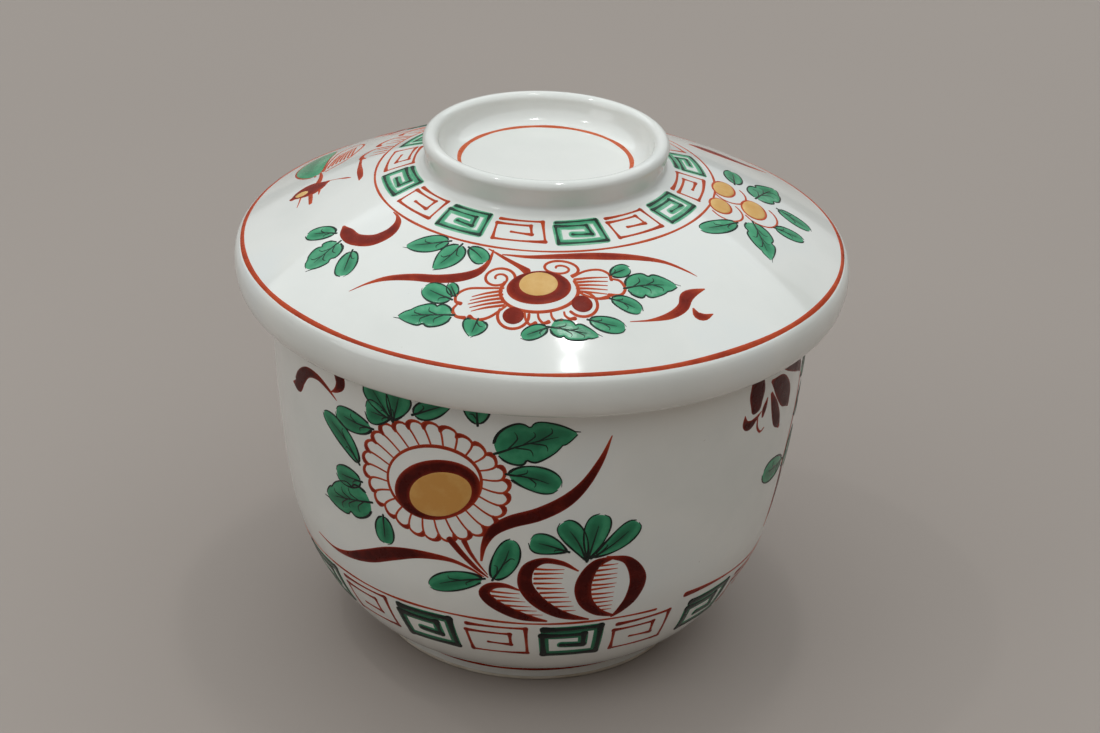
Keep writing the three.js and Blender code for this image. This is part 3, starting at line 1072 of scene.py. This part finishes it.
def lid_comma(paint):
    """The fat comma stroke with three leaves."""
    mark = [(-36.7, -17.4, 0.6), (-36.0, -19.6, 2.5), (-34.3, -22.4, 2.8), (-31, -24.1, 3.0),
            (-28, -23.3, 2.6), (-26.6, -21.1, 1.5), (-26.7, -19, 0.6), (-27.5, -17.4, 0.25)]
    strokes(paint, [mark], wet=0.05)
    leaves(paint, [
        ((-38.2, -18.7), (-43.7, -16.0), 3.7, (0.55, 0.45), dict(bend=-0.04)),
        ((-37.2, -21.9), (-42.7, -26.6), 6.2, (0.4, 0.6), dict(LOBED, tail=0.9)),
        ((-34.5, -25.7), (-35.9, -31.6), 3.9, (0.5, 0.42), dict(veins=1)),
    ])


def lid_berries(paint):
    """Three gold berries, each with a white rim between two red lines, and their leaves."""
    for centre, radii, tilt in (((33.9, 0.0), (2.0, 3.3), -12), ((33.0, -7.8), (1.95, 2.5), -10),
                                ((39.6, -3.8), (2.25, 3.4), -8)):
        disc(paint.gold, centre, radii, tilt, load=0.65)
        ring = oval(centre, (radii[0] + 0.15, radii[1] + 0.15), tilt)
        loop(paint.red, ring, np.full(len(ring), 0.42))
        rim = oval((centre[0] + 1.0, centre[1] - 0.7), (radii[0] + 1.3, radii[1] + 1.0), tilt,
                   start=-130, sweep=200, count=24)
        strokes(paint, [[(*p, 0.45) for p in rim[::2]]])
    leaves(paint, [
        ((36.3, 5.2), (36.2, 12.6), 3.7, (0.55, 0.5), dict(veins=1)),
        ((40.4, 2.4), (44.8, 13.6), 6.0, (0.45, 0.8), LOBED),
        ((44.8, 1.9), (50.9, -0.9), 4.4, (0.55, 0.5), {}),
        ((43.6, -7.4), (49.2, -6.6), 3.7, (0.55, 0.5), {}),
        ((39.2, -9.2), (42.2, -19.4), 5.6, (0.5, 0.9), dict(LOBED, tail=0.9)),
        ((35.8, -11.9), (28.8, -18.4), 3.3, (0.5, 0.42), dict(bend=0.03)),
    ])


def lid_butterfly(paint):
    """A plain butterfly: a red body with a gold patch, a green wing, a hatched wing and a feeler."""
    disc(paint.gold, (-46.3, 2.2), (1.3, 1.1), load=0.5)
    strokes(paint, [
        [(-47.9, 1.8, 1.6), (-46.6, 2.4, 4.6), (-44.7, 3.0, 6.2), (-43.0, 3.4, 4.6), (-41.6, 3.9, 1.2)],
        [(-43.4, 10.8, 0.5), (-43.2, 8.0, 0.9), (-43.4, 5.6, 1.2)],
        [(-44.6, 1.4, 0.8), (-44.3, -1.4, 0.9), (-44.1, -4.0, 0.7)],
        [(-46.4, 0.4, 0.4), (-46.5, -1.6, 0.3), (-46.7, -3.4, 0.15)],
        [(-42.9, 2.2, 0.6), (-42.8, 0.4, 0.5), (-42.8, -1.1, 0.2)],
        [(-41.4, 4.2, 0.2), (-39.4, 3.3, 0.22), (-38.0, 2.4, 0.6), (-37.0, 1.7, 0.3)],
    ], wet=0.05)
    leaf(paint, (-44.4, 10.4), (-42.5, 30.5), 6.4, (0.5, 0.5), ink=0.9, bend=0.12, veins=0, outline="red")
    strokes(paint, [[(-43.0, 11.5, 0.45), (-42.3, 18, 0.45), (-40.8, 25, 0.45), (-37.8, 27.6, 0.5),
                     (-36.1, 25, 0.5), (-37.0, 19, 0.45), (-39.0, 14.2, 0.4), (-42.5, 11.0, 0.4)]])
    for k in range(7):
        strokes(paint, [[(-42.3 + 0.72 * k, 13.0 + 0.6 * k, 0.45), (-41.5 + 0.62 * k, 17.6 + 0.9 * k, 0.4),
                (-40.6 + 0.5 * k, 22 + 0.6 * k, 0.12)]])


def lid_side_blossom(paint):
    """Three petals on the outside of the fret line, with a drop beside them."""
    for degrees in (159, 148, 137):
        angle = math.radians(degrees)
        outward = np.array([math.cos(angle), math.sin(angle)])
        petal(paint, outward * (FRET_LINE + 0.3), outward, 5.2, 5.6)
        for k in (-1, 0, 1):
            side = np.array([-outward[1], outward[0]]) * 1.3 * k
            start, end = outward * (FRET_LINE + 0.7) + side, outward * (FRET_LINE + 3.6) + side * 1.3
            brush(paint.red, [(*start, 0.5), (*end, 0.15)])
    drop = [(-35.6, 12.4, 0.5), (-35.6, 7.5, 0.7), (-35.3, 3.4, 1.2), (-35.0, 0.4, 1.0), (-35.1, -1.1, 0.3)]
    strokes(paint, [drop], wet=0.1)


def paint_lid():
    paint = Palette("lid", place_on_lid, LID_MIX, ink=0.8, step=0.35)
    lid_ring(paint.red, DOME_RADIUS - 0.2, 0.95)
    lid_ring(paint.red, FRET_LINE, 0.5)
    lid_ring(paint.red, WELL_LINE, 0.85, place=place_in_well, wet=-0.3)
    lid_frets(paint)
    lid_flower(paint, 0)
    lid_flower(paint, 186)
    lid_comma(paint)
    lid_berries(paint)
    lid_butterfly(paint)
    lid_side_blossom(paint)
    swash = [(28.6, 25.0, 1.0), (31.0, 25.2, 4.0), (34.5, 25.3, 4.0), (38.5, 25.6, 2.4), (41.5, 26.8, 1.4),
             (44.0, 28.8, 0.4)]
    strokes(paint, [swash], wet=0.05)
    paint.build()


# ---------------------------------------------------------------- camera, floor and lights

CAMERA_PLACE = (0.7, -470.2, 297.5)
CAMERA_PITCH = 27.47
CAMERA_YAW = -0.20
CAMERA_ROLL = 2.23
CAMERA_LENS = 88.4       # on the usual 36 mm wide sensor
FLOOR_SIZE = 24          # the floor and the lights are in metres
PAPER_DARK = (0.34, 0.293, 0.26, 1)
PAPER_LIGHT = (0.365, 0.315, 0.28, 1)
DAYLIGHT = (0.9, 0.968, 1.0)
WALL_LIGHT = (0.94, 0.97, 1.0)
FILL_LIGHT = (0.93, 0.97, 1.0)
ROOM_GLOW = (1.0, 0.8, 0.66, 1)
ROOM_STRENGTH = 0.08


def add_camera():
    """The camera that was fitted to the photo: it looks down, and it is rolled a little."""
    data = bpy.data.cameras.new("camera")
    data.lens = CAMERA_LENS
    camera = bpy.data.objects.new("camera", data)
    bpy.context.collection.objects.link(camera)
    turn = (Matrix.Rotation(math.radians(CAMERA_YAW), 4, "Z")
            @ Matrix.Rotation(math.radians(90 - CAMERA_PITCH), 4, "X")
            @ Matrix.Rotation(math.radians(CAMERA_ROLL), 4, "Z"))
    camera.matrix_world = Matrix.Translation(Vector(CAMERA_PLACE) * MM) @ turn
    bpy.context.scene.camera = camera


def add_floor():
    """A plain warm-grey sheet of paper, so wide that its far edge is never in view."""
    bpy.ops.mesh.primitive_plane_add(size=FLOOR_SIZE, location=(0, 0, 0))
    floor = bpy.context.object
    floor.name = "floor"
    shader = Shader("floor_paper")
    tone = shader.ramp(shader.noise(3, detail=2), (0.3, PAPER_DARK), (0.7, PAPER_LIGHT))
    shader.drive("Base Color", tone)
    shader.set(roughness=0.75)
    floor.data.materials.append(shader.material)


def add_light(name, place, size, power, tint=(1, 1, 1), aim=(0, 0, 0.06)):
    """An oval light, in metres and watts, that is aimed at the bowl unless told otherwise."""
    data = bpy.data.lights.new(name, "AREA")
    data.shape = "ELLIPSE"
    data.size, data.size_y = size
    data.energy = power
    data.color = tint
    light = bpy.data.objects.new(name, data)
    light.location = place
    light.rotation_euler = (Vector(aim) - Vector(place)).to_track_quat("-Z", "Y").to_euler()
    bpy.context.collection.objects.link(light)


def add_lights():
    """A broad soft panel overhead, the light off a wall behind, small lamps for the glints,
    a cool fill from the left, and a faint warm glow from all round.
    """
    add_light("ceiling_panel", (-0.2, 0.1, 2.0), (6, 6), 98, DAYLIGHT, aim=(-0.2, 0.1, 0))
    add_light("back_wall", (0, 3, 1.3), (7, 2.2), 15, WALL_LIGHT)
    add_light("lamp_broad", (0.10, 0.12, 1.1), (0.08, 0.08), 0.5)
    add_light("lamp_near", (0.10, 0.025, 1.1), (0.03, 0.03), 0.25)
    add_light("lamp_left", (-0.42, 0.0, 1.1), (0.04, 0.04), 0.5)
    add_light("left_fill", (-1.0, -0.5, 0.5), (0.6, 0.6), 1.2, FILL_LIGHT)
    world = bpy.data.worlds.new("studio")
    world.use_nodes = True
    background = world.node_tree.nodes["Background"]
    background.inputs["Color"].default_value = ROOM_GLOW
    background.inputs["Strength"].default_value = ROOM_STRENGTH
    bpy.context.scene.world = world
    bpy.context.scene.view_settings.view_transform = "Standard"


# ---------------------------------------------------------------- assembly

add_camera()
add_floor()
add_lights()

FIRED_PIECES = (
    (bowl_body, "bowl", "bowl_glaze", "bowl"),
    (foot_land, "bowl", "bare_clay", None),
    (lid_body, "lid", "lid_glaze", "lid"),
    (lid_seat, "lid", "bare_clay", None),
)
for make, body, slot, node in FIRED_PIECES:
    piece = make()
    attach(piece, body)
    if node:
        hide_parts(node)

paint_bowl()
paint_lid()
